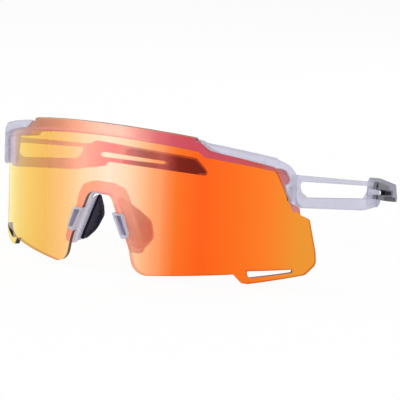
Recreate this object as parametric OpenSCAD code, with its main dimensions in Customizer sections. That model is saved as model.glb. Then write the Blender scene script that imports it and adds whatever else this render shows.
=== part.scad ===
/* [Lens] */
// Outer radius of the cylinder that the lens is cut from
lens_r = 82; // [80:0.5:84]
// Thickness of the lens
lens_t = 2; // [1.6:0.1:2.3]
// Height of the lens edge at the middle of the brow
brow_top = 53.6; // [52:0.1:56]
// Half width of the raised brow at its upper corners
brow_half = 34.5; // [31:0.5:37]
// Height of the nose cutout's top edge
nose_top = 28.6; // [27:0.1:30]
// Radius of the corner between the nose cutout and the lower edge
nose_foot_r = 6; // [3:0.5:8]

/* [Front frame] */
// Thickness of the bar behind the lens
bar_t = 2.8; // [2.4:0.1:3.4]
// Height of the bar's top edge at the middle, on the bar's mean radius
bar_top = 52.8; // [52:0.1:53.2]
// Height of the bar at the middle of the brow
bar_h = 4; // [3:0.1:5]
// How far the frame beside the lens stands proud of the lens
lip_proud = 2.2; // [1.5:0.1:2.4]
// Gap between the lens and the frame
seat_gap = 0.15; // [0.1:0.05:0.3]

/* [Hinges] */
// Radius of the hinge knuckles
knuckle_r = 1.6; // [1.5:0.1:1.8]
// Radius of the hinge screw's shank
screw_r = 0.7; // [0.5:0.05:0.8]
// Radial clearance of the temple's knuckle on the screw
hinge_fit = 0.04; // [0.01:0.01:0.1]
// Height of the temple's knuckle
knuckle_h = 2.6; // [2.2:0.1:2.8]
// Height of each frame knuckle
finger_h = 1.3; // [1.2:0.1:1.4]

/* [Temples] */
// Thickness of a temple's skeleton part
temple_t = 3; // [2.6:0.1:3.4]
// Length of the straight part, from the split beside the lens to the ear bend
temple_len = 49; // [44:0.1:54]
// Outward splay of the temple at the hinge, in degrees
splay = 3.8; // [2:0.5:5]
// Radius of the ear bend, seen from above
bend_r = 30; // [26:1:34]
// Inward turn of the tip from straight back, in degrees
tip_turn = 18.5; // [14:0.5:20]
// Length of the tip behind the bend
tip_len = 59.8; // [54:0.1:64]
// Thickness of the tip, with its grip
tip_t = 4.4; // [4:0.1:5]
// Thickness of the grip's layer on the inner face
grip_t = 1.8; // [1.2:0.1:2.2]

/* [Nose piece] */
// Thickness of the carrier's flange behind the lens
flange_t = 1.9; // [1.4:0.1:2.2]
// Thickness of the clips in front of the lens
clip_t = 1.1; // [0.8:0.1:1.4]
// Thickness of each nose pad
pad_t = 1; // [0.8:0.1:1.4]
// Lean of the pads towards the bridge, in degrees
pad_lean = 23; // [18:1:26]
// Opening of the pads towards the face, in degrees
pad_flare = 9; // [4:1:14]

/* [Hidden] */
$fn = 96;

// The lens cylinder's axis is vertical. It lies behind the origin of the part, which is at the
// middle of the part's box, at the height of the lens's lowest edge.
tip_reach = tip_len * cos(tip_turn);
bend_angle = splay + tip_turn;

// Lens seat
bar_r = lens_r - lens_t - seat_gap;
bar_mean_r = bar_r - bar_t / 2;
lip_r = lens_r + lip_proud;
// The frame's outer face is eccentric, so that it stands proud of the lens only towards the temple
skin_shift = 5;
// Slope of the lens's upper side edges, in mm down for each mm towards the face
edge_slope = 0.373;
// Height that this edge would reach at the very front of the cylinder
edge_front_z = 50.6;
// Angle around the lens from which the side outlines are viewed square
side_a = 47;
// Slope of the bar's edges
bar_slope = 0.33;
// Outside the brow the bar's top edge is lower by this step
step_x = 36;
step_h = 1;
// Half width of the lens's middle outline, under which the side outlines begin
middle_x = lens_r * sin(34.6);
// Where the bar and the frame's lip end inside the end pieces
bar_end_y = -lens_r * cos(44);
far = 200;

// Side end pieces
end_r_in = lens_r - 3.8;
split_gap = 0.3;
// Angle around the lens at which the frame ends and the temple begins
split_a = 50.7;
flank_r = lens_r + 0.9;
split_y = -flank_r * cos(split_a);
skin_r = lip_r - skin_shift * sin(split_a);
flank_x = flank_r * sin(split_a);
flank_lean = 12;
pivot_x = flank_x - temple_t + 0.1;
pivot_y = split_y + split_gap / 2 + knuckle_r;
pocket_gap = 0.25;

// Stack of the hinge, from below
finger_z = 29.3;
face_gap = 0.1;
finger_reach = knuckle_r + 1.6;
knuckle_z = finger_z + finger_h + face_gap;
finger_top_z = knuckle_z + knuckle_h + face_gap;
hinge_top = finger_top_z + finger_h;
head_r = 1.15;
head_h = 0.6;
head_room = 6;
insert_r = 1.1;
insert_h = 1;

// Temple: distances along it start at the middle of the split
temple_x = flank_x - temple_t / 2;
lower_slope = 0.1435;
lower_z = 27.45;
upper_slope = 0.156;
upper_z = 39.1;
tip_upper_slope = 0.2006;
tip_lower_slope = 0.184;
tip_upper_z = upper(temple_len) - 0.15;
tip_lower_z = lower(temple_len) + 2.8;

// Nose cutout: half widths at their heights, on the lens
nose_edge = [[0.3, 14.9], [10.5, 12.7], [20.6, 8], [nose_top, 4.6]];
function edge_x(z) = lookup(z, nose_edge);
// Ends of the clips on the cutout's sides
clip_low = 13.3;
clip_high = 22.2;

// Part's place: the box runs from the clips' front to the tips' ends
front_y = -sqrt(pow(lens_r + clip_t + seat_gap, 2) - pow(edge_x(clip_high) - 1, 2));
bend_out_y = split_y + temple_len + bend_r * sin(bend_angle);
rear_y = bend_out_y + tip_reach;
axis_y = -(front_y + rear_y) / 2;

// Rounds the corners of a polygon. Each point is [x, y, radius].
function turn(v) = atan2(v[1], v[0]);
function wrap(a) = a > 180 ? a - 360 : (a < -180 ? a + 360 : a);
function flat(p) = [p[0], p[1]];
function corner(a, p, b, r, steps) =
    let (u = (a - p) / norm(a - p), v = (b - p) / norm(b - p))
    let (half = acos(max(-1, min(1, u * v))) / 2)
    let (reach = r / tan(half), mid = u + v)
    let (c = p + mid / norm(mid) * r / sin(half))
    let (from = turn(p + u * reach - c), sweep = wrap(turn(p + v * reach - c) - from))
    [for (k = [0:steps]) c + r * [cos(from + sweep * k / steps), sin(from + sweep * k / steps)]];
function rounded(pts, steps = 8) =
    let (n = len(pts))
    [for (i = [0:n - 1])
        each let (p = pts[i], a = pts[(i + n - 1) % n], b = pts[(i + 1) % n])
            p[2] > 0 ? corner(flat(a), flat(p), flat(b), p[2], steps) : [flat(p)]];

// Turns [angle around the lens, height, radius] into a place on the side view
function side_pts(pts) = [for (p = pts) [lens_r * sin(p[0] - side_a), p[1], p[2]]];
function mirrored(pts) = concat(pts, [for (i = [len(pts) - 1:-1:0]) [-pts[i][0], pts[i][1], pts[i][2]]]);

// Outlines of the lens
brow_side = [
    [brow_half + 7, brow_top - 9.6, 0], [brow_half + 7, brow_top - 7.3, 0],
    [brow_half + 4.8, brow_top - 6.3, 2], [brow_half + 1.9, brow_top - 3.9, 0.5],
    [brow_half + 0.5, brow_top - 3.7, 0.3], [brow_half - 0.1, brow_top - 2.4, 0.6]
];
brow_pts = concat(
    brow_side,
    [for (k = [3:-1:-3]) [9 * k, brow_top - pow(9 * k, 2) / 510, 0]],
    [for (i = [len(brow_side) - 1:-1:0]) [-brow_side[i][0], brow_side[i][1], brow_side[i][2]]]
);
middle_pts = mirrored([
    [4.6, nose_top, 3.8], [8, 20.6, 18], [12.7, 10.5, 18], [14.9, 0.3, nose_foot_r],
    [middle_x, 3.2, 0], [middle_x, 70, 0]
]);
side_outline = [
    [33.5, 3.15, 0], [35.8, 3.35, 0.8], [37.9, 0.25, 1], [39.4, 0, 0.5], [54.3, 2.9, 3],
    [57.2, 6.5, 3], [56.9, 11, 9], [54.75, 23, 1.2], [52.1, 24.7, 0.7], [51.9, 27.1, 0.7],
    [48.9, 29.4, 1], [47.7, 33.9, 0.8], [47.6, 36, 0.3], [48.4, 36, 0.4], [48.8, 37.6, 1],
    [47.6, 40.8, 2.5], [45, 42.5, 2], [44.5, 70, 0], [33.5, 70, 0]
];
slot_outline = [[39, 4.6, 0.5], [51, 5.1, 0.4], [50.7, 3.8, 0.3], [40.2, 2.1, 0.6], [39.4, 2.6, 0.5]];

// Outline of an end piece, and the bar's lower edge under the brow
end_outline = [
    [43, 40.6, 0], [45.9, 39.8, 3], [47.4, 35.6, 6], [49.4, 28.6, 4], [50, 25.7, 1],
    [54, 26.4, 0], [54, 36.6, 0], [50.7, 37.7, 0.5], [50.1, 40, 3], [48.2, 43, 5], [43, 46.1, 0]
];
catch_outline = [[44.2, 43.9, 0.5], [44.4, 41.7, 0.6], [45.7, 41.5, 0.6], [46.6, 43.6, 0.5]];
under_brow = mirrored([[32, 49.5, 0], [38.2, 43, 0]]);

module place() { translate([0, axis_y, 0]) children(); }
module both_sides() { children(); mirror([1, 0, 0]) children(); }
module at_side(side) { if (side > 0) children(); else mirror([1, 0, 0]) children(); }

// A wall of the lens cylinder between two radii, front half only
module shell(r_in, r_out) {
    difference() {
        cylinder(r = r_out, h = 70, $fn = 240);
        translate([0, 0, -1]) cylinder(r = r_in, h = 72, $fn = 240);
        translate([-far, -30, -1]) cube([2 * far, 2 * far, 72]);
    }
}
// A flat outline in X and Z, run through the front of the lens
module from_front(pts) { rotate([90, 0, 0]) linear_extrude(far) polygon(rounded(pts)); }
// An outline of angles and heights, run through the side of the lens
module from_side(pts) {
    rotate([0, 0, side_a]) rotate([90, 0, 0]) linear_extrude(far) polygon(rounded(side_pts(pts)));
}
// Everything below a plane that falls towards the face
module below(front_z, slope, at_y) {
    rotate([90, 0, 90]) translate([0, 0, -far / 2]) linear_extrude(far)
        polygon([[-far, -1], [0, -1], [0, front_z + slope * at_y], [-far, front_z + slope * (at_y + far)]]);
}

// The frame's top edge: high behind the brow, one step lower beside it
module top_edge() {
    below(bar_top - step_h, bar_slope, -bar_mean_r);
    intersection() {
        below(bar_top, bar_slope, -bar_mean_r);
        translate([-step_x, -far, 0]) cube([2 * step_x, far, 70]);
    }
}
// What lies under the frame's lower edge beside the brow
module under_side() { below(bar_top - bar_h - 2.1, 0.29, -bar_mean_r); }

module lens_blank() {
    intersection() {
        union() {
            from_front(middle_pts);
            both_sides() from_side(side_outline);
        }
        union() {
            below(edge_front_z, edge_slope, -lens_r);
            from_front(brow_pts);
        }
    }
}

module lens() {
    color([1, 0.5, 0.1]) place() difference() {
        intersection() {
            shell(lens_r - lens_t, lens_r);
            lens_blank();
        }
        both_sides() from_side(slot_outline);
    }
}

module bar() {
    difference() {
        intersection() {
            shell(bar_r - bar_t, bar_r);
            top_edge();
            translate([-far / 2, -far, 0]) cube([far, far + bar_end_y, 70]);
        }
        under_side();
        intersection() {
            below(bar_top - bar_h, 0.36, -bar_mean_r);
            from_front(under_brow);
        }
    }
}

// Everything inside the flat flank that leads into the temple's outer face
module flank() {
    translate([flank_x, split_y, 0]) rotate([0, 0, -flank_lean]) translate([-far, -far, 0])
        cube([far, 2 * far, 70]);
}
// The frame's eccentric wall beside the lens
module side_wall(r_in) {
    intersection() {
        shell(r_in, lip_r);
        translate([skin_shift, 0, 0]) cylinder(r = skin_r, h = 70, $fn = 240);
    }
}

module end_block() {
    intersection() {
        side_wall(end_r_in);
        from_side(end_outline);
        below(bar_top - step_h, bar_slope, -bar_mean_r);
        flank();
        translate([-far / 2, -far, 0]) cube([far, far + split_y - split_gap / 2, 70]);
    }
}

module lip() {
    difference() {
        intersection() {
            side_wall(bar_r - 0.5);
            top_edge();
            translate([brow_half + 2, -far, 40]) cube([far, far + bar_end_y, 30]);
        }
        under_side();
    }
}

module frame_fingers() {
    for (z = [finger_z, finger_top_z]) translate([pivot_x, pivot_y, z]) {
        cylinder(r = knuckle_r, h = finger_h);
        translate([-0.8, -finger_reach, 0]) cube([1.4, finger_reach, finger_h]);
    }
}

// The lens's seat: open towards the front, so that the lens drops in over the frame
module seat() {
    intersection() {
        shell(bar_r, lip_r + 5);
        lens_blank();
    }
}
// A small lug that holds the lens's rear lobe from the front
module catch() {
    intersection() {
        side_wall(lens_r + 0.1);
        from_side(catch_outline);
    }
}

module frame_side() {
    catch();
    difference() {
        union() {
            end_block();
            lip();
            frame_fingers();
        }
        seat();
        translate([pivot_x, pivot_y, finger_z - head_room]) {
            cylinder(r = screw_r, h = 20);
            cylinder(r = head_r + 0.05, h = head_room + head_h);
        }
        translate([pivot_x, pivot_y, hinge_top - insert_h]) cylinder(r = insert_r, h = 5);
    }
}

module front_frame() {
    color([0.84, 0.83, 0.9]) place() {
        bar();
        both_sides() frame_side();
    }
}

// Temple, drawn in its own frame: +Y runs back along it from the split
module temple_frame() { translate([temple_x, split_y, 0]) rotate([0, 0, -splay]) children(); }
module tip_frame() {
    translate([-bend_r * (1 - cos(bend_angle)), temple_len + bend_r * sin(bend_angle), 0])
        rotate([0, 0, bend_angle]) children();
}
// A side view of lengths and heights, given a thickness from x0 to x1
module slab(pts, x0, x1) {
    translate([x0, 0, 0]) rotate([90, 0, 90]) linear_extrude(x1 - x0) polygon(rounded(pts));
}
function upper(y) = upper_z - upper_slope * y;
function lower(y) = lower_z - lower_slope * y;
function tip_upper(s) = tip_upper_z - tip_upper_slope * s;
function tip_lower(s) = tip_lower_z - tip_lower_slope * s;

temple_end = temple_len + bend_r * sin(bend_angle) + 1;
heel_z = lower(temple_len) - 0.1;
temple_pts = [
    [split_gap / 2, 29.9, 0.4], [3.6, 27.4, 0.4], [4, lower(4), 0.5],
    [temple_len - 2, lower(temple_len - 2), 30], [temple_end, heel_z, 0],
    [temple_end, upper(temple_end), 0], [split_gap / 2, upper(0), 0.6]
];
window_pts = [
    [2.3, upper(2.3) - 3.3, 0.6], [3.6, lower(3.6) + 5.7, 2.2], [8.5, lower(8.5) + 3.7, 5],
    [temple_len + 1.9, lower(temple_len + 1.9) + 4.4, 0.6],
    [temple_len + 5.4, lower(temple_len + 5.4) + 6.9, 1.5],
    [temple_len + 6.4, upper(temple_len + 6.4) - 1.6, 0.8], [3.8, upper(3.8) - 2.1, 0.6]
];
tip_pts = [
    [-2.6, heel_z, 0], [3.9, heel_z + 0.4, 1.2], [5.4, tip_lower(5.4), 0.6],
    [tip_len - 1, tip_lower(tip_len - 1), 1], [tip_len, tip_lower(tip_len) + 1.9, 1],
    [tip_len - 6.5, tip_upper(tip_len - 6.5), 2.5], [1.5, tip_upper(1.5), 2],
    [-2.6, upper(temple_end - 3.4) - 0.4, 0]
];
slot_end = tip_len - 21.3;
tip_slot = [
    [0.7, tip_lower(0.7) + 2.6, 0.3], [3.4, tip_lower(3.4) + 1.5, 0.6],
    [slot_end, tip_lower(slot_end) + 2.3, 0.5], [slot_end + 0.4, tip_lower(slot_end + 0.4) + 3.7, 0.5],
    [2.6, tip_lower(2.6) + 3.9, 0.6]
];
// The grip's outlines run out below the tip, which cuts them to its own edge
run_out = 1.5;
grip_pts = [
    [13, tip_lower(13) - run_out, 0], [tip_len - 18.6, tip_lower(tip_len - 18.6) - run_out, 0],
    [tip_len - 17.1, tip_lower(tip_len - 17.1) + 0.9, 0.6],
    [tip_len - 1.9, tip_lower(tip_len - 1.9) + 0.9, 0.5],
    [tip_len - 1.3, tip_lower(tip_len) + 2.1, 0.5], [tip_len - 7.6, tip_upper(tip_len - 7.6) - 0.9, 2],
    [15.5, tip_upper(15.5) - 0.8, 1.5]
];
strip_pts = [
    [16, tip_lower(16) - run_out, 0], [tip_len - 5, tip_lower(tip_len - 5) - run_out, 0],
    [tip_len - 6, tip_lower(tip_len - 6) + 1.6, 0.6], [17.5, tip_lower(17.5) + 1.3, 0.6]
];
peg_s = slot_end + 3;
peg_z = tip_lower(peg_s) + 3.2;
peg_r = 1.3;

// One side of the temple's plan: straight, round the ear bend and on to just inside the tip
function plan_side(d) = [
    [d, split_gap / 2, 0],
    [d, temple_len + (bend_r + d) * tan(bend_angle / 2), bend_r + d],
    [-bend_r * (1 - cos(bend_angle)) + d * cos(bend_angle) - 0.4 * sin(bend_angle),
        temple_len + (bend_r + d) * sin(bend_angle) + 0.4 * cos(bend_angle), 0]
];
module temple_plan() {
    outer = plan_side(temple_t / 2);
    inner = plan_side(-temple_t / 2);
    polygon(rounded([outer[0], outer[1], outer[2], inner[2], inner[1], inner[0]], 14));
}

module grip_blank() {
    slab(grip_pts, -tip_t, -tip_t / 2 + grip_t);
    slab(strip_pts, -tip_t, tip_t);
    translate([-tip_t, peg_s, peg_z]) rotate([0, 90, 0]) cylinder(r = peg_r, h = 2 * tip_t);
}
module tip_blank() {
    difference() {
        slab(tip_pts, -tip_t / 2, tip_t / 2);
        slab(tip_slot, -tip_t, tip_t);
    }
}
module grip_solid() {
    intersection() {
        tip_blank();
        grip_blank();
    }
}

module temple_solid() {
    intersection() {
        linear_extrude(70) temple_plan();
        difference() {
            slab(temple_pts, -30, 30);
            slab(window_pts, -40, 40);
        }
    }
    tip_frame() difference() {
        tip_blank();
        grip_blank();
    }
}

module temple() {
    difference() {
        union() {
            temple_frame() temple_solid();
            translate([pivot_x, pivot_y, knuckle_z]) cylinder(r = knuckle_r, h = knuckle_h);
        }
        translate([pivot_x, pivot_y, 0]) {
            cylinder(r = screw_r + hinge_fit, h = hinge_top);
            cylinder(r = knuckle_r + pocket_gap, h = knuckle_z);
            translate([0, 0, finger_top_z - face_gap])
                cylinder(r = knuckle_r + pocket_gap, h = finger_h + face_gap + pocket_gap);
        }
    }
}

module left_temple() { color([0.82, 0.81, 0.88]) place() temple(); }
module right_temple() { color([0.82, 0.81, 0.88]) place() mirror([1, 0, 0]) temple(); }
module left_ear_grip() { color([0.12, 0.11, 0.15]) place() temple_frame() tip_frame() grip_solid(); }
module right_ear_grip() {
    color([0.12, 0.11, 0.15]) place() mirror([1, 0, 0]) temple_frame() tip_frame() grip_solid();
}

module hinge_screw(side) {
    color([0.6, 0.6, 0.62]) place() at_side(side) translate([pivot_x, pivot_y, finger_z]) {
        difference() {
            cylinder(r = head_r, h = head_h);
            translate([-head_r, -0.15, -1]) cube([2 * head_r, 0.3, 1.3]);
        }
        cylinder(r = screw_r, h = hinge_top - finger_z - 0.3);
    }
}
module screw_insert(side) {
    color([0.8, 0.65, 0.35]) place() at_side(side)
        translate([pivot_x, pivot_y, hinge_top - insert_h]) difference() {
            cylinder(r = insert_r, h = insert_h);
            translate([0, 0, -1]) cylinder(r = screw_r, h = insert_h + 2);
        }
}
module left_hinge_screw() { hinge_screw(1); }
module right_hinge_screw() { hinge_screw(-1); }
module left_screw_insert() { screw_insert(1); }
module right_screw_insert() { screw_insert(-1); }

// Nose piece
flange_pts = mirrored([
    [4.4, 32, 3], [8.8, 30.4, 2], [10.7, 26.9, 3], [11.9, 22, 6], [15.1, 15, 8], [16.8, 10.4, 2],
    [16.4, 8, 1.2],
    [edge_x(8) - 0.9, 8, 0.8], [edge_x(20.6) - 0.9, 20.6, 12], [edge_x(27.6) - 0.4, 27.6, 3]
]);
clip_pts = [
    [edge_x(clip_high) - 1, clip_high, 0.5], [edge_x(clip_low) - 1, clip_low, 0.5],
    [edge_x(clip_low) + 1.5, clip_low + 0.2, 0.8], [edge_x(15.5) + 2.8, 15.5, 1.4],
    [edge_x(clip_high) + 3.5, clip_high, 1]
];
// A shallow window in each clip's face
clip_window = [
    [edge_x(clip_high) + 0.3, clip_high - 1, 0.4], [edge_x(clip_low) - 0.4, clip_low + 1.4, 0.3],
    [edge_x(15.5) + 1.8, 15.2, 0.5], [edge_x(clip_high) + 2.4, clip_high - 1, 0.6]
];
clip_relief = 0.45;
bridge_pts = [
    [edge_x(clip_high) - 1, clip_high, 0], [edge_x(20.6) - 1, 20.6, 0], [edge_x(clip_low) - 1, clip_low, 0],
    [edge_x(clip_low) - seat_gap, clip_low, 0], [edge_x(20.6) - seat_gap, 20.6, 0],
    [edge_x(clip_high) - seat_gap, clip_high, 0]
];
pad_pts = [
    [0, 1.1, 1], [4.8, 0.7, 3], [10.9, 2.8, 4], [12.7, 8.6, 2.5], [8.8, 13.2, 6], [1.6, 19.7, 1],
    [0, 19.8, 0.6]
];
arm_pts = [
    [-5.2, 1.6, 0], [0, 0.2, 1], [4.8, -0.1, 3], [10.6, 2.4, 4], [12, 8.6, 2.5], [8.2, 13, 6],
    [2, 18.8, 1.2], [-5.2, 17.6, 0]
];
pad_foot_x = 12.3;
pad_front_y = 6.1 - lens_r;
pad_foot_z = 8.3;
arm_t = 1.1;

module pad_frame() {
    translate([pad_foot_x, pad_front_y, pad_foot_z]) rotate([0, -pad_lean, 0]) rotate([0, 0, -pad_flare])
        children();
}
module nose_pad() { pad_frame() slab(pad_pts, -pad_t, 0); }
module left_nose_pad() { color([0.13, 0.12, 0.16]) place() nose_pad(); }
module right_nose_pad() { color([0.13, 0.12, 0.16]) place() mirror([1, 0, 0]) nose_pad(); }

module nose_carrier() {
    color([0.85, 0.82, 0.9]) place() {
        intersection() {
            shell(bar_r - flange_t, bar_r);
            from_front(flange_pts);
        }
        both_sides() {
            intersection() {
                pad_frame() slab(arm_pts, 0, arm_t);
                cylinder(r = bar_r - 0.2, h = 70, $fn = 240);
            }
            difference() {
                intersection() {
                    shell(lens_r + seat_gap, lens_r + seat_gap + clip_t);
                    from_front(clip_pts);
                }
                intersection() {
                    shell(lens_r + seat_gap + clip_t - clip_relief, lens_r + 9);
                    from_front(clip_window);
                }
            }
            intersection() {
                shell(bar_r - 1, lens_r + seat_gap + clip_t);
                from_front(bridge_pts);
            }
        }
    }
}

lens();
front_frame();
left_temple();
right_temple();
left_ear_grip();
right_ear_grip();
left_hinge_screw();
right_hinge_screw();
left_screw_insert();
right_screw_insert();
nose_carrier();
left_nose_pad();
right_nose_pad();
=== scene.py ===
import math

import bpy
from mathutils import Matrix, Vector


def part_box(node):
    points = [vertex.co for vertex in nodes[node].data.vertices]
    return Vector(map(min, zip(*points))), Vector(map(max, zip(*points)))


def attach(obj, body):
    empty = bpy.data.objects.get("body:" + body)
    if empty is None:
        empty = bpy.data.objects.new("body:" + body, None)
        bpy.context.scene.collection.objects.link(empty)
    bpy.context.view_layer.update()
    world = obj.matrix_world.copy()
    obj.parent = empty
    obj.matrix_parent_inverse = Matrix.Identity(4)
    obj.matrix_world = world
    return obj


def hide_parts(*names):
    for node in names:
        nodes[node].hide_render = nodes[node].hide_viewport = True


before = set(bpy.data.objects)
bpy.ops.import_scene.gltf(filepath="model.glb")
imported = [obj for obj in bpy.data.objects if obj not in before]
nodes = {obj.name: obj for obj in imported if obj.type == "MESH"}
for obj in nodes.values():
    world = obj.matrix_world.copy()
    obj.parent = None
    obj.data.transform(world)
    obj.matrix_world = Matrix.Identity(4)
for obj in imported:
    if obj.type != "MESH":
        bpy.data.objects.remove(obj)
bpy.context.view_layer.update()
scene = bpy.context.scene

MM = 0.001
# The lens is a part of an upright cylinder with this radius in mm, and this is its axis in plan
LENS_R = 82.0
AXIS_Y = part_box("lens")[0].y + LENS_R * MM


# Node building ---------------------------------------------------------------------------------
class Net:
    """The nodes of a material or of the world, added one after the other."""

    def __init__(self, owner, output="ShaderNodeOutputMaterial"):
        owner.use_nodes = True
        self.owner = owner
        self.tree = owner.node_tree
        self.tree.nodes.clear()
        self.out = self.add(output)

    def add(self, kind, inputs=None, **values):
        n = self.tree.nodes.new(kind)
        for k, v in values.items():
            setattr(n, k, v)
        for k, v in (inputs or {}).items():
            self.put(n.inputs[k], v)
        return n

    def put(self, socket, value):
        if isinstance(value, bpy.types.NodeSocket):
            self.tree.links.new(value, socket)
        elif isinstance(value, bpy.types.Node):
            self.tree.links.new(value.outputs[0], socket)
        else:
            socket.default_value = value

    def math(self, operation, a, b=0.0, c=0.0, clamp=False):
        n = self.add("ShaderNodeMath", operation=operation, use_clamp=clamp)
        for k, v in enumerate((a, b, c)):
            self.put(n.inputs[k], v)
        return n.outputs[0]

    def times(self, a, b):
        return self.math("MULTIPLY", a, b)

    def minus(self, a, b):
        return self.math("SUBTRACT", a, b)

    def sloped(self, value, line):
        """The height of a line, given as its height at 0 and its slope."""
        return self.math("MULTIPLY_ADD", value, line[1], line[0])

    def ramp(self, value, stops):
        n = self.add("ShaderNodeValToRGB", {"Fac": value})
        e = n.color_ramp.elements
        while len(e) < len(stops):
            e.new(1.0)
        for k, (p, colour) in enumerate(stops):
            e[k].position = p
            e[k].color = colour
        return n.outputs[0]

    def mix(self, factor, a, b):
        n = self.add("ShaderNodeMix", data_type="RGBA")
        self.put(n.inputs[0], factor)
        self.put(n.inputs[6], a)
        self.put(n.inputs[7], b)
        return n.outputs[2]

    def shade(self, factor, a, b):
        n = self.add("ShaderNodeMixShader")
        self.put(n.inputs[0], factor)
        self.put(n.inputs[1], a)
        self.put(n.inputs[2], b)
        return n

    def line(self, value, low, high, to_low=0.0, to_high=1.0, kind="LINEAR"):
        """Takes low to to_low and high to to_high, and stays level beyond them."""
        n = self.add("ShaderNodeMapRange", interpolation_type=kind)
        for k, v in enumerate((value, low, high, to_low, to_high)):
            self.put(n.inputs[k], v)
        return n.outputs[0]

    def smooth(self, value, *ends):
        return self.line(value, *ends, kind="SMOOTHSTEP")

    def object_place(self):
        return self.add("ShaderNodeTexCoord").outputs["Object"]

    def place(self):
        """X, Y and Z in the row frame, in metres."""
        n = self.add("ShaderNodeSeparateXYZ", {"Vector": self.object_place()})
        return n.outputs[0], n.outputs[1], n.outputs[2]

    def place_mm(self):
        return [self.times(v, 1000.0) for v in self.place()]

    def noise(self, scale, detail):
        return self.add("ShaderNodeTexNoise", {
            "Vector": self.object_place(), "Scale": scale, "Detail": detail}).outputs[0]

    def bump(self, height, strength, distance):
        return self.add("ShaderNodeBump", {
            "Height": height, "Strength": strength, "Distance": distance}).outputs[0]

    def transparent(self, colour):
        return self.add("ShaderNodeBsdfTransparent", {"Color": colour})

    def principled(self, colour, roughness, more=None):
        return self.add("ShaderNodeBsdfPrincipled", {
            "Base Color": colour, "Roughness": roughness, **(more or {})})

    def plainly_seen(self):
        """1 where the camera sees it straight or through clear matter, 0 where it only lights things."""
        path = self.add("ShaderNodeLightPath")
        return self.math("MAXIMUM", path.outputs["Is Camera Ray"], path.outputs["Is Transmission Ray"])

    def done(self, shader):
        self.put(self.out.inputs["Surface"], shader)
        return self.owner


def material_net(name):
    return Net(bpy.data.materials.new(name))


def srgb(text):
    """A linear colour from six hexadecimal digits."""
    v = [int(text[k:k + 2], 16) / 255 for k in (0, 2, 4)]
    v = [x / 12.92 if x <= 0.04045 else ((x + 0.055) / 1.055) ** 2.4 for x in v]
    return (*v, 1.0)


WHITE = (1, 1, 1, 1)

# The lens --------------------------------------------------------------------------------------
# Places on it are in mm: x across, y from the cylinder's axis, z up. Angles are in degrees round from
# its middle, positive on the wearer's left. The colour ramps reach SPAN to each side.
SPAN = 60.0

# The tones where the lens lies over the frame, with the frame seen through it; they are paler in the middle
# with the painted reflection of the lamps
OVER_FRAME = [
    (-50, "CEBCCC"), (-42, "BCA8B6"), (-36, "BA9A9C"), (-28, "AE7E72"), (-22, "B07660"), (-14, "CD8768"),
    (-7, "EFA78A"), (0, "FEC5AC"), (6, "F9C5B2"), (11, "E7958C"), (16, "D0626E"), (20, "C14E60"),
    (24, "BE4659"), (34, "B64A5C"), (41, "B94D4C"), (48, "B5767E")]
# The tint on white, and the part of it that is the mirror coat's colour, as linear values; both hold a
# painted reflection of the lamps, pale in the middle and fading to each side
TINT_WITH_REFLECTION = [
    (-52, "D4BE60"), (-44, "E4CC66"), (-38, "EED26C"), (-27, "F3C95C"), (-19, "F3C15A"), (-13, "F8C876"),
    (-8, "FDD293"), (-5, "FFDFB2"), (-2, "FFE5C0"), (3, "FFEED2"), (6, "FFE4C4"), (9, "FFD6AE"),
    (12, "FFC494"), (15, "FFAC72"), (18, "FF9250"), (22, "FF741F"), (27, "FF6412"), (36, "FF7316"),
    (43, "FF8022"), (52, "F09A30")]
COAT_WITH_REFLECTION = [
    (-60, (0.15, 0.13, 0.15)), (-39, (0.17, 0.12, 0.12)), (-27, (0.25, 0.09, 0.065)),
    (-19, (0.27, 0.03, 0.08)), (-13, (0.42, 0.03, 0.12)), (-8, (0.75, 0.12, 0.16)),
    (-2, (0.84, 0.05, 0.03)), (4, (0.86, 0.06, 0.07)), (8, (0.60, 0.14, 0.13)), (10, (0.46, 0.13, 0.12)),
    (12, (0.35, 0.09, 0.07)), (15, (0.34, 0.065, 0.05)), (17, (0.39, 0.08, 0.068)),
    (19, (0.27, 0.035, 0.028)), (21, (0.13, 0.008, 0.005)), (27, (0.09, 0.005, 0.003)),
    (60, (0.12, 0.015, 0.008))]
CUT_FACES = [(-40, "1C1614"), (-12, "4A3834"), (6, "8A4A3C"), (30, "782C3C")]
# How brightly the coat is lit
LIT = 1.05

# The radii between which the cut faces give way to the outer and to the inner face
OUTER_FACE = (81.7, 81.8)
INNER_FACE = (80.15, 80.05)

# The frame as it lies behind the lens. BAR_R is the radius of its bar's outer face, and depths count back
# from BAR_FRONT ahead of the axis. The bar's edges drop as they go back, so each is a height at depth 0 and
# a slope. Its lower edge steps down where it passes a leaning line.
BAR_R = 79.85
BAR_FRONT = 78.1
MIDDLE_LOW = (48.7, -0.36)
SIDE_LOW = (46.6, -0.29)
BAR_TOP = (52.9, -0.33)
STEP_X, STEP_Z, STEP_LEAN = 32.0, 49.5, 0.954
# The end pieces' inner edge, which leans out below END_Z, and their lower edge
END_ANGLE, END_Z, END_LEAN = 45.75, 39.8, 0.31
END_LOW = (25.4, 26.2)
# On the wearer's right the end piece's tone begins sooner and softly, above a height
SOFT_ANGLES = (-34.5, -40.5)
SOFT_LOW = (29.7, 30.3)
# How far the frame's own tone covers the mirror, and how far from its lower edge the painted shade along
# its rim fades
COVER = 0.88
RIM_SHADE_FADE = (0.45, 0.1)
# The bar's paler strip, a painted highlight: its height above the lower edge, and its two ends
PALE_UP, PALE_LEFT, PALE_RIGHT = (1.6, 0.2), (14.4, 13.4), (-30.0, -20.0)


def along(stops):
    """A ramp's stops from pairs of an angle and a colour."""
    return [((p + SPAN) / (2 * SPAN), srgb(c) if isinstance(c, str) else (*c, 1.0)) for p, c in stops]


def coat_with_reflection_at(angle):
    """The coat's colour, with its painted reflection, between its stops."""
    for (p, a), (q, b) in zip(COAT_WITH_REFLECTION, COAT_WITH_REFLECTION[1:]):
        if p <= angle <= q:
            t = (angle - p) / (q - p)
            return [u + (v - u) * t for u, v in zip(a, b)]


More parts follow.
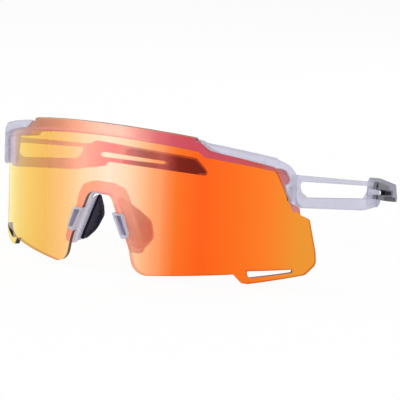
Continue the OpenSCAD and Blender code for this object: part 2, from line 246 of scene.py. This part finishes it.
def let_through(angle, text):
    """What the lens lets through, so that together with the coat it gives the tint on white, painted
    reflection included.
    """
    return tuple(max(0.0, min(1.0, v - LIT * c)) for v, c in zip(srgb(text), coat_with_reflection_at(angle)))


def frame_behind(n, x, y, z, degrees):
    """Where the frame lies behind the lens, with the parts of it that the lens's tones need."""
    near = BAR_R / LENS_R
    depth = n.math("ADD", n.times(y, near), BAR_FRONT)
    wide = n.times(n.math("ABSOLUTE", x), near)
    low_middle = n.minus(z, n.sloped(depth, MIDDLE_LOW))
    low_side = n.minus(z, n.sloped(depth, SIDE_LOW))
    past_step = n.minus(wide, n.sloped(n.minus(STEP_Z, z), (STEP_X, STEP_LEAN)))
    above = n.math("MINIMUM", low_side, n.math("MAXIMUM", low_middle, past_step))
    below = n.minus(n.sloped(depth, BAR_TOP), z)
    in_bar = n.times(n.smooth(above, -0.12, 0.12), n.smooth(below, -0.15, 0.15))
    lean = n.math("MAXIMUM", n.minus(END_Z, z), 0.0)
    end = n.minus(n.math("ABSOLUTE", degrees), n.sloped(lean, (END_ANGLE, END_LEAN)))
    soft_end = n.times(n.smooth(degrees, *SOFT_ANGLES), n.smooth(z, *SOFT_LOW))
    in_end = n.times(n.math("MAXIMUM", n.smooth(end, -0.1, 0.1), soft_end), n.smooth(z, *END_LOW))
    return low_middle, above, in_bar, in_end


def lens_material():
    """See-through mirror lens: its tint runs along the curve, with a painted reflection of the lamps as a
    pale middle band, and deeper tones over the frame.
    """
    n = material_net("mirror_lens")
    x, y, z = n.place_mm()
    y = n.minus(y, AXIS_Y / MM)
    radius = n.math("SQRT", n.math("ADD", n.times(x, x), n.times(y, y)))
    degrees = n.times(n.math("ARCTAN2", x, n.times(y, -1.0)), math.degrees(1.0))
    turn = n.line(degrees, -SPAN, SPAN)
    streak = n.add("ShaderNodeTexNoise", {
        "Vector": n.add("ShaderNodeMapping", {"Vector": n.object_place(), "Scale": (40.0, 40.0, 4.0)}),
        "Scale": 3.0, "Detail": 2.0})
    low_middle, above, in_bar, in_end = frame_behind(n, x, y, z, degrees)
    backed = n.math("MAXIMUM", in_bar, in_end)

    # Over the frame: a painted highlight low in the bar's middle, painted shade along its lower rim, and
    # faintly streaked
    rim_shade = n.times(n.smooth(n.math("ABSOLUTE", above), *RIM_SHADE_FADE), backed)
    pale = n.times(n.smooth(low_middle, *PALE_UP), n.smooth(degrees, *PALE_LEFT))
    pale = n.times(pale, n.smooth(degrees, *PALE_RIGHT))
    tone = n.ramp(turn, along(OVER_FRAME))
    # Painted highlight: the paler strip low in the bar's middle
    tone = n.mix(n.times(n.times(pale, in_bar), 0.35), tone, srgb("FFA0A8"))
    # Painted shade along the bar's lower rim
    tone = n.mix(n.times(rim_shade, 0.45), tone, srgb("A06050"))
    tone = n.mix(n.times(streak.outputs[0], 0.12), tone, srgb("B04848"))
    solid = n.principled(tone, 0.18, {"Specular IOR Level": 0.15})

    # The mirror: the coat's colour and what the lens lets through, which share the painted reflection in
    # the middle
    mirror = n.add("ShaderNodeAddShader")
    through = n.ramp(turn, along([(p, let_through(p, c)) for p, c in TINT_WITH_REFLECTION]))
    n.put(mirror.inputs[0], n.principled(n.ramp(turn, along(COAT_WITH_REFLECTION)), 0.18, {"Specular IOR Level": 0.1}))
    n.put(mirror.inputs[1], n.transparent(through))
    outside = n.shade(n.times(backed, COVER), mirror, solid)
    # From inside, the wearer's side, only the tint is seen, still with its painted pale middle
    behind = n.add("ShaderNodeNewGeometry").outputs["Backfacing"]
    outside = n.shade(behind, outside, n.transparent(n.ramp(turn, along(TINT_WITH_REFLECTION))))
    gloss = n.principled(srgb("C88858"), 0.12, {"Specular IOR Level": 0.4})
    inside = n.shade(0.05, n.transparent((0.99, 0.98, 0.96, 1)), gloss)

    # The cut faces are dark, but take on the frame's colour where they sit in its end pieces
    cut = n.mix(in_end, n.ramp(turn, along(CUT_FACES)), srgb("CEC8D4"))
    edge = n.principled(cut, 0.3)
    # Through the lens's own face they show as a fainter line
    faint = n.times(behind, n.smooth(degrees, -40.0, -36.0, 1.0, 0.5))
    edge = n.shade(faint, edge, n.transparent(WHITE))
    is_out = n.smooth(radius, *OUTER_FACE)
    is_in = n.smooth(radius, *INNER_FACE)
    return n.done(n.shade(is_in, n.shade(is_out, edge, outside), inside))


# The other materials ---------------------------------------------------------------------------
# The clips' sunk windows, in mm: their slanted sides as X at height 0 and slope, and the fades at their
# lower end, their upper end and their floor
WINDOW_INNER = (17.75, -0.46)
WINDOW_OUTER = (18.25, -0.40)
WINDOW_LOW, WINDOW_HIGH, WINDOW_FLOOR = (14.5, 14.9), (21.6, 21.2), (-72.2, -72.45)
# Where the tips turn smokier, and where they turn clearer, in metres back
SMOKY_Y = (0.009, 0.027)
CLEARER_Y = (0.001, 0.012)


def in_windows(n):
    x, y, z = n.place_mm()
    x = n.math("ABSOLUTE", x)
    inner = n.minus(x, n.sloped(z, WINDOW_INNER))
    outer = n.minus(n.sloped(z, WINDOW_OUTER), x)
    wide = n.times(n.smooth(inner, -0.5, -0.2), n.smooth(outer, -0.5, -0.2))
    tall = n.times(n.smooth(z, *WINDOW_LOW), n.smooth(z, *WINDOW_HIGH))
    return n.times(n.times(wide, tall), n.smooth(y, *WINDOW_FLOOR))


def clear_material(name, filled, shade_windows=False):
    """Frosted clear plastic: milky, partly see-through, and greyer where it turns away from the eye."""
    n = material_net(name)
    facing = n.add("ShaderNodeLayerWeight", {"Blend": 0.35}).outputs["Facing"]
    milk = n.mix(n.noise(160.0, 3.0), srgb("CDCDDA"), srgb("DCDCEA"))
    colour = n.mix(n.smooth(facing, 0.45, 0.95), milk, srgb("ACA8B6"))
    if shade_windows:
        # Painted shade: the clips' sunk windows are darkened to a deeper violet
        colour = n.mix(n.times(in_windows(n), 0.85), colour, srgb("605A80"))
    body = n.principled(colour, 0.34, {
        "Normal": n.bump(n.noise(9000.0, 2.0), 0.06, 0.0001), "Specular IOR Level": 0.5})
    # The tips are smokier and clearer than the rest, so that the rubber shows through them
    back = n.place()[1]
    clear = n.transparent(n.mix(n.smooth(back, *SMOKY_Y), srgb("E6E6F0"), srgb("BABAC4")))
    clearer = n.smooth(back, *CLEARER_Y, 0.0, 0.36)
    factor = n.math("MULTIPLY_ADD", facing, 0.35, n.minus(filled, clearer), clamp=True)
    return n.done(n.shade(factor, clear, body))


def rubber_material(name, low, high, gloss):
    """Soft matt rubber with a fine grain."""
    n = material_net(name)
    colour = n.mix(n.noise(300.0, 2.0), srgb(low), srgb(high))
    return n.done(n.principled(colour, 0.55, {
        "Normal": n.bump(n.noise(4000.0, 3.0), 0.18, 0.0001),
        "Sheen Weight": 0.03, "Sheen Roughness": 0.5, "Specular IOR Level": gloss}))


def metal_material(name, colour):
    """Turned metal with fine rings."""
    n = material_net(name)
    grain = n.noise(3000.0, 3.0)
    tone = n.mix(grain, srgb(colour), srgb("8A8478"))
    rough = n.smooth(grain, 0.3, 0.7, 0.26, 0.42)
    rings = n.add("ShaderNodeTexWave", {"Vector": n.object_place(), "Scale": 1500.0}, bands_direction="Z")
    return n.done(n.principled(tone, rough, {
        "Metallic": 1.0, "Normal": n.bump(rings.outputs[0], 0.1, 0.00005)}))


def floor_material():
    """White to the eye, and a little less bright where it only lights the glasses."""
    n = material_net("floor")
    pale = n.add("ShaderNodeBsdfDiffuse", {"Color": (0.93, 0.93, 0.93, 1)})
    white = n.add("ShaderNodeEmission", {"Color": WHITE, "Strength": 1.0})
    return n.done(n.shade(n.times(n.plainly_seen(), 0.93), pale, white))


lens_mat = lens_material()
clear_mat = clear_material("frosted_clear", 0.42)
nose_mat = clear_material("nose_clear", 0.46, True)
rubber_mat = rubber_material("soft_rubber", "09091A", "171A30", 0.22)
pad_mat = rubber_material("pad_rubber", "0A0A22", "161636", 0.07)
steel_mat = metal_material("screw_steel", "B8B8BC")
brass_mat = metal_material("insert_brass", "C9A25A")


def dress(obj, material):
    obj.data.materials.clear()
    obj.data.materials.append(material)


for name, obj in nodes.items():
    if name == "lens":
        dress(obj, lens_mat)
    elif name == "nose_carrier":
        dress(obj, nose_mat)
    elif name.endswith(("temple", "front_frame")):
        dress(obj, clear_mat)
    elif name.endswith("grip"):
        dress(obj, rubber_mat)
    elif name.endswith("pad"):
        dress(obj, pad_mat)
    elif name.endswith("screw"):
        dress(obj, steel_mat)
    else:
        dress(obj, brass_mat)


# Moulded pieces: the CAD forms with the soft edges and the fine relief that moulding gives them ---
def moulded(node, name, body, voxel, passes, shape=None):
    """A copy of a CAD form, meshed evenly, with softened edges and an optional relief."""
    src = nodes[node]
    obj = bpy.data.objects.new(name, src.data.copy())
    obj.matrix_world = src.matrix_world.copy()
    scene.collection.objects.link(obj)
    skin = obj.modifiers.new("skin", "REMESH")
    skin.mode = "VOXEL"
    skin.voxel_size = voxel
    skin.use_smooth_shade = True
    soft = obj.modifiers.new("soft", "SMOOTH")
    soft.factor = 0.5
    soft.iterations = passes
    mesh = bpy.data.meshes.new_from_object(obj.evaluated_get(bpy.context.evaluated_depsgraph_get()))
    obj.modifiers.clear()
    obj.data = mesh
    if shape:
        for v in mesh.vertices:
            v.co = shape(v.co)
    for p in mesh.polygons:
        p.use_smooth = True
    dress(obj, src.data.materials[0])
    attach(obj, body)
    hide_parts(node)


# The left pad's own frame: X across the pad away from the wearer's nose, Y back along it, Z up along it.
# Its foot stands this far in mm to the side, behind the lens's front and up.
PAD_SIDE, PAD_BACK, PAD_UP = 12.3, 6.1, 8.3
PAD_LEAN, PAD_TWIST = math.radians(-23), math.radians(-9)
PAD_FOOT = Vector((PAD_SIDE, PAD_BACK - LENS_R, PAD_UP)) * MM + Vector((0, AXIS_Y, 0))
PAD_TURN = Matrix.Rotation(PAD_LEAN, 4, "Y") @ Matrix.Rotation(PAD_TWIST, 4, "Z")
PAD_FRAME = Matrix.Translation(PAD_FOOT) @ PAD_TURN
# Its outline as Y and Z, in mm
PAD_OUT = [(0.2, 1.3), (4.8, 1.0), (10.5, 3.0), (12.3, 8.6), (8.6, 13.0), (1.5, 19.4), (0.2, 19.5)]
# The face on the nose is where X is below this. It is hollowed inside a rim, with a slope between them.
FACE_X = -0.55
HOLLOW, RIM, RIM_SLOPE = 0.42, 0.9, 1.2
# The ribs rise with Y and are RIB_Z high at RIB_MID. They begin at RIB_START and reach their height
# within RIB_RUN.
RIB_Z, RIB_MID, RIB_RISE = (7.2, 9.3, 11.4), 10.0, 0.3
RIB_HEIGHT, RIB_WIDTH = 0.5, 0.36
RIB_START, RIB_RUN = 6.8, 1.2


def rim_distance(y, z):
    """Distance in mm from the pad's outline, in the pad's own plane."""
    best = math.inf
    for k, a in enumerate(PAD_OUT):
        b = PAD_OUT[(k + 1) % len(PAD_OUT)]
        dy, dz = b[0] - a[0], b[1] - a[1]
        t = max(0.0, min(1.0, ((y - a[0]) * dy + (z - a[1]) * dz) / (dy * dy + dz * dz)))
        best = min(best, math.hypot(y - a[0] - t * dy, z - a[1] - t * dz))
    return best


def pad_relief(side):
    """A hollowed face with three short ribs that run in from the rear edge."""
    there = Matrix.Scale(side, 4, (1, 0, 0)) @ PAD_FRAME
    home = there.inverted()

    def shape(co):
        p = home @ co
        x, y, z = p * 1000.0
        if x > FACE_X:
            return co
        hollow = HOLLOW * min(1.0, max(0.0, (rim_distance(y, z) - RIM) / RIM_SLOPE))
        along_rib = min(1.0, max(0.0, (y - RIB_START) / RIB_RUN))
        ribs = 0.0
        for middle in RIB_Z:
            across = (z - middle - RIB_RISE * (y - RIB_MID)) / RIB_WIDTH
            ribs += RIB_HEIGHT * math.exp(-across * across) * along_rib
        return there @ Vector(((x + hollow - min(ribs, hollow)) * MM, p.y, p.z))

    return shape


FINE = 0.00028
moulded("front_frame", "frame_moulding", "front", FINE, 5)
moulded("left_temple", "left_temple_moulding", "left_arm", FINE, 5)
moulded("right_temple", "right_temple_moulding", "right_arm", FINE, 5)
moulded("nose_carrier", "nose_piece_moulding", "front", 0.00024, 4)
moulded("left_ear_grip", "left_grip_rubber", "left_arm", FINE, 4)
moulded("right_ear_grip", "right_grip_rubber", "right_arm", FINE, 4)
moulded("left_nose_pad", "left_pad_rubber", "front", 0.00022, 5, pad_relief(1))
moulded("right_nose_pad", "right_pad_rubber", "front", 0.00022, 5, pad_relief(-1))


# Floor, light and camera -----------------------------------------------------------------------
# A wide square just under the glasses, in metres
FLOOR_HALF, FLOOR_Z = 6, -0.0006
corners = [(x * FLOOR_HALF, y * FLOOR_HALF, 0) for x, y in ((-1, -1), (1, -1), (1, 1), (-1, 1))]
floor = bpy.data.objects.new("floor", bpy.data.meshes.new("floor"))
floor.data.from_pydata(corners, [], [(0, 1, 2, 3)])
floor.location = (0, 0, FLOOR_Z)
floor.data.materials.append(floor_material())
scene.collection.objects.link(floor)

LIT_PLACE = Vector((0, 0, 0.03))


def area_light(name, place, size, watts):
    """A soft lamp that points at the glasses."""
    lamp = bpy.data.lights.new(name, "AREA")
    lamp.shape = "RECTANGLE"
    lamp.size, lamp.size_y = size
    lamp.energy = watts
    obj = bpy.data.objects.new(name, lamp)
    obj.location = place
    obj.rotation_mode = "QUATERNION"
    obj.rotation_quaternion = (LIT_PLACE - Vector(place)).to_track_quat("-Z", "Y")
    scene.collection.objects.link(obj)


area_light("key", (0.7, -0.75, 0.35), (0.6, 0.6), 5.5)
area_light("fill", (-0.8, -0.35, 0.4), (0.6, 0.6), 4.2)
area_light("back", (0.1, 0.8, 0.6), (0.8, 0.5), 3.0)

# The world is white to the eye, and lights the glasses at about half that strength
scene.world = bpy.data.worlds.new("studio")
sky = Net(scene.world, "ShaderNodeOutputWorld")
strength = sky.line(sky.plainly_seen(), 0.0, 1.0, 0.55, 1.0)
sky.done(sky.add("ShaderNodeBackground", {"Color": WHITE, "Strength": strength}))

scene.view_settings.view_transform = "Standard"

# The camera's angles, distance, shift and focal length come from a fit to mirrored pairs of points.
# It is placed from the lens's axis, in mm, and the focal length is in pixels of a 400 pixel picture.
AZ, EL, ROLL = math.radians(31.5), math.radians(9.98), math.radians(2.43)
SHIFT_X, SHIFT_Y, DISTANCE, AIM_Z = -6.79, -1.99, 710.7, 0.0174
SENSOR, FOCAL, PIXELS = 36.0, 1797.1, 400.0
back = Vector((math.sin(AZ) * math.cos(EL), -math.cos(AZ) * math.cos(EL), math.sin(EL)))
right = Vector((math.cos(AZ), math.sin(AZ), 0))
up = back.cross(right)
cam_x = math.cos(ROLL) * right + math.sin(ROLL) * up
cam_y = -math.sin(ROLL) * right + math.cos(ROLL) * up
place = (cam_x * SHIFT_X + cam_y * SHIFT_Y + back * DISTANCE) * MM + Vector((0, AXIS_Y, AIM_Z))
cam = bpy.data.cameras.new("camera")
cam.sensor_width = SENSOR
cam.lens = SENSOR * FOCAL / PIXELS
cam.clip_start, cam.clip_end = 0.01, 50.0
camera = bpy.data.objects.new("camera", cam)
camera.matrix_world = Matrix.Translation(place) @ Matrix((cam_x, cam_y, back)).transposed().to_4x4()
scene.collection.objects.link(camera)
scene.camera = camera
